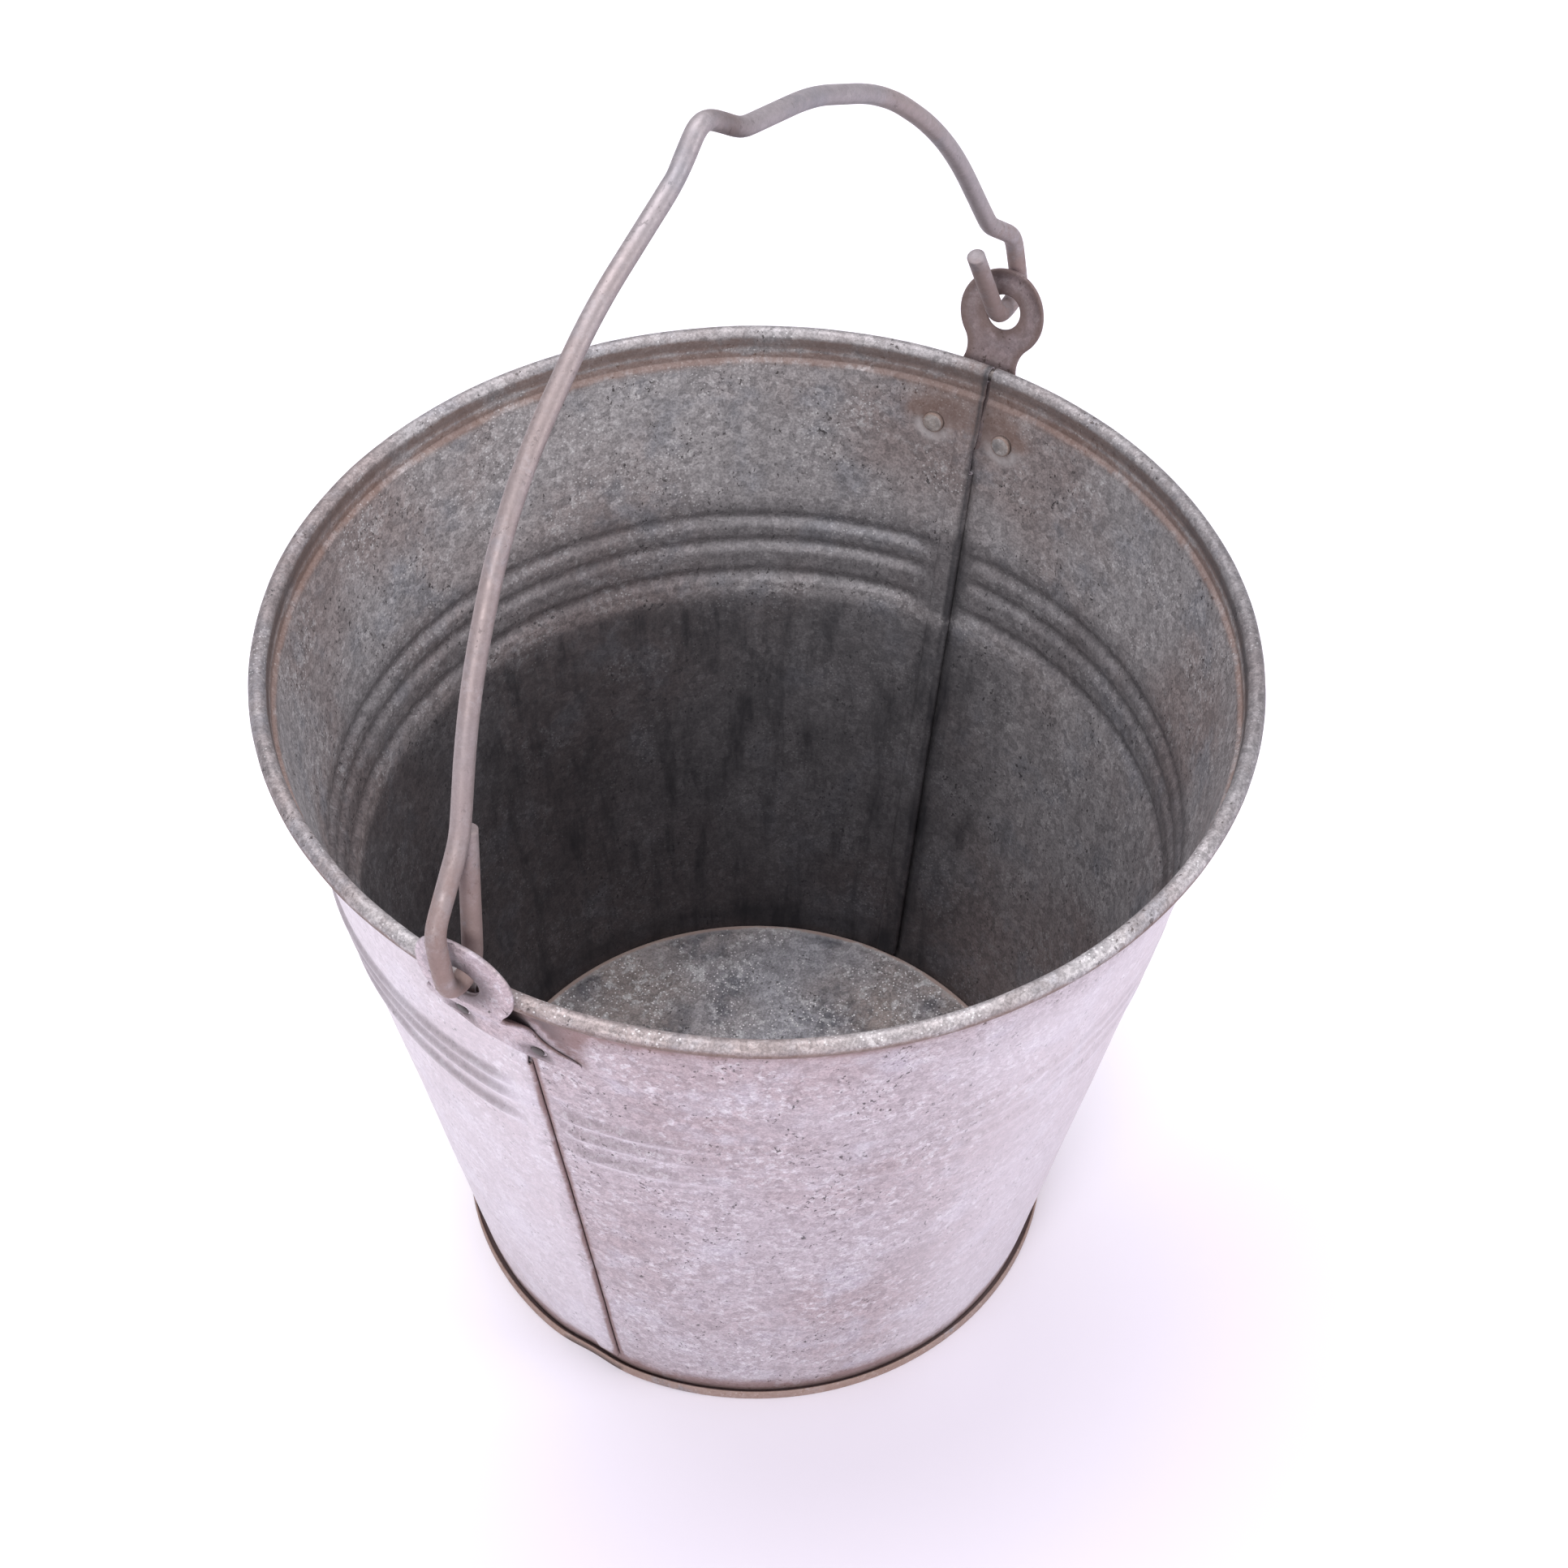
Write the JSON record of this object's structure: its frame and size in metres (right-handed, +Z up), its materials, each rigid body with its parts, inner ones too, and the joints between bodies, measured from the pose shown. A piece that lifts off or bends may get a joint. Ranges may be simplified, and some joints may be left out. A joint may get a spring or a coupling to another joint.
{
  "type": "florist bucket",
  "caption": "Tapered galvanised steel pail with a rolled rim, lock seams, riveted ears and a swinging wire bail.",
  "frame": {"origin": "centre of the foot ring, on the surface that the pail stands on", "axes": "+Z up out of the mouth; X along the line of the two ears, +X towards the ear whose plate leans out more; the hinge line climbs 1.3 degrees towards +X; the standing bail leans 7 degrees towards +Y"},
  "size_m": [0.3447, 0.31, 0.4469],
  "materials": {
    "body_zinc": "weathered hot-dip galvanised, dull spangle",
    "bottom_zinc": "weathered hot-dip galvanised, mottled",
    "rim_wire_steel": "plain drawn steel wire",
    "ear_zinc": "galvanised, browned by rust",
    "rivet_zinc": "galvanised, dull",
    "bail_wire": "galvanised wire, dull, browned at the ends"
  },
  "bodies": {
    "pail": {"body_sheet_front": "body_zinc", "body_sheet_back": "body_zinc", "rim_wire": "rim_wire_steel", "bottom_plate": "bottom_zinc", "ear_right": "ear_zinc", "ear_left": "ear_zinc", "rivet_right_1": "rivet_zinc", "rivet_right_2": "rivet_zinc", "rivet_left_1": "rivet_zinc", "rivet_left_2": "rivet_zinc"},
    "bail": {"bail": "bail_wire"}
  },
  "joints": [
    {"name": "bail_hinge", "type": "hinge", "parent": "pail", "child": "bail", "pos_m": [0, 0.003, 0.27163], "axis": [0.9997, 0, 0.023], "range_deg": [-85, 98.5]}
  ]
}
